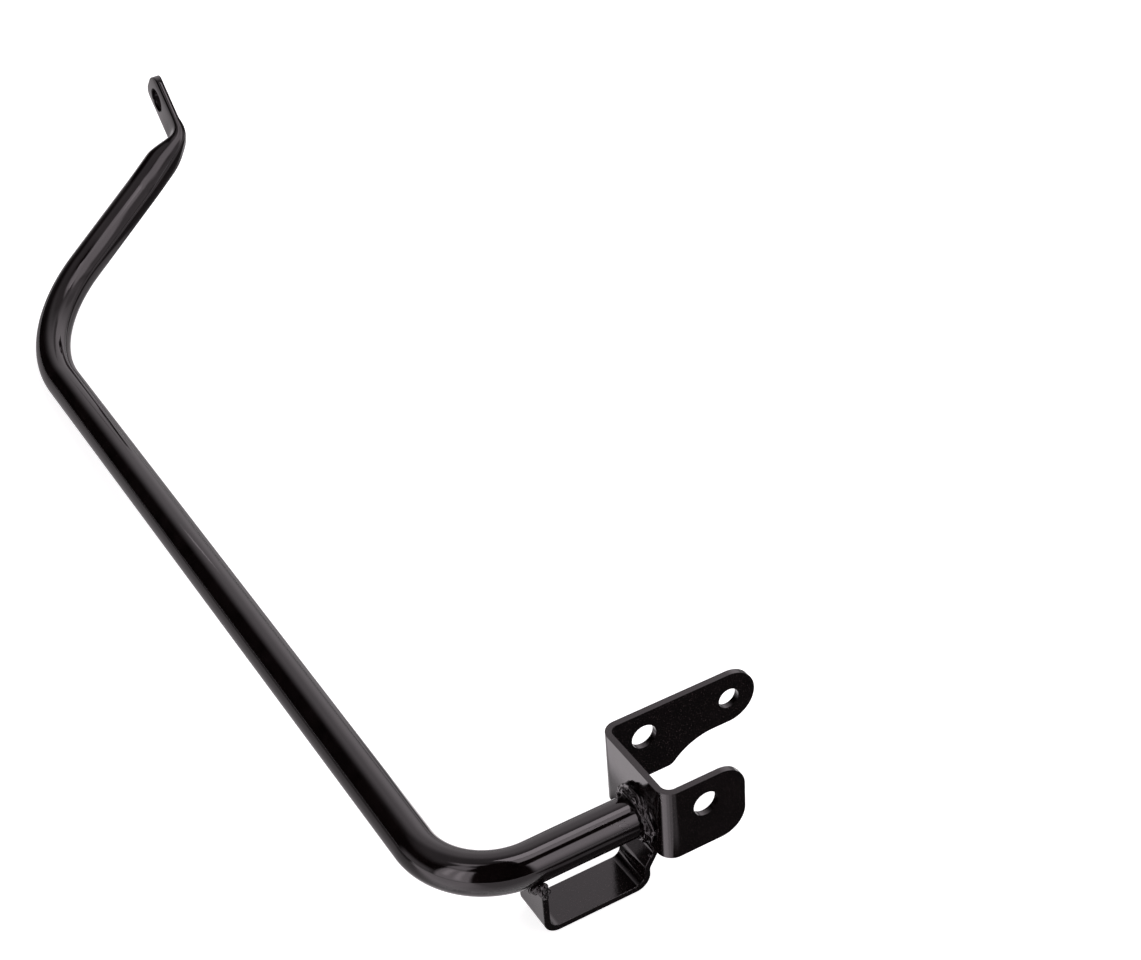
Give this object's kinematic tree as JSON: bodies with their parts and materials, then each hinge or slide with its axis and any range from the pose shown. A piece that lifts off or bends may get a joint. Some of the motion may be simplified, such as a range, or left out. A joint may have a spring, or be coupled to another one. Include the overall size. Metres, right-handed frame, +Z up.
{
  "type": "pannier frame",
  "caption": "Motorbike pannier frame: a bent round tube with a pressed flat, drilled end, a welded U-shaped bracket with drilled ears and a strap loop below, in black powder coat.",
  "frame": {"origin": "middle of the clevis bore, halfway between the outer faces of the bracket's two ears", "axes": "+X inward towards the machine, +Y along the long tube from the bracket to the flat end, +Z up, away from the strap loop"},
  "size_m": [0.1465, 0.5249, 0.1089],
  "materials": {
    "tube": "gloss black powder coat",
    "plate": "black powder coat with a fine orange-peel",
    "weld": "gloss black powder coat over rippled weld"
  },
  "bodies": {
    "root": {"bent_tube": "tube", "u_bracket": "plate", "strap_loop": "plate", "web_weld": "weld", "loop_weld": "weld"}
  },
  "joints": []
}
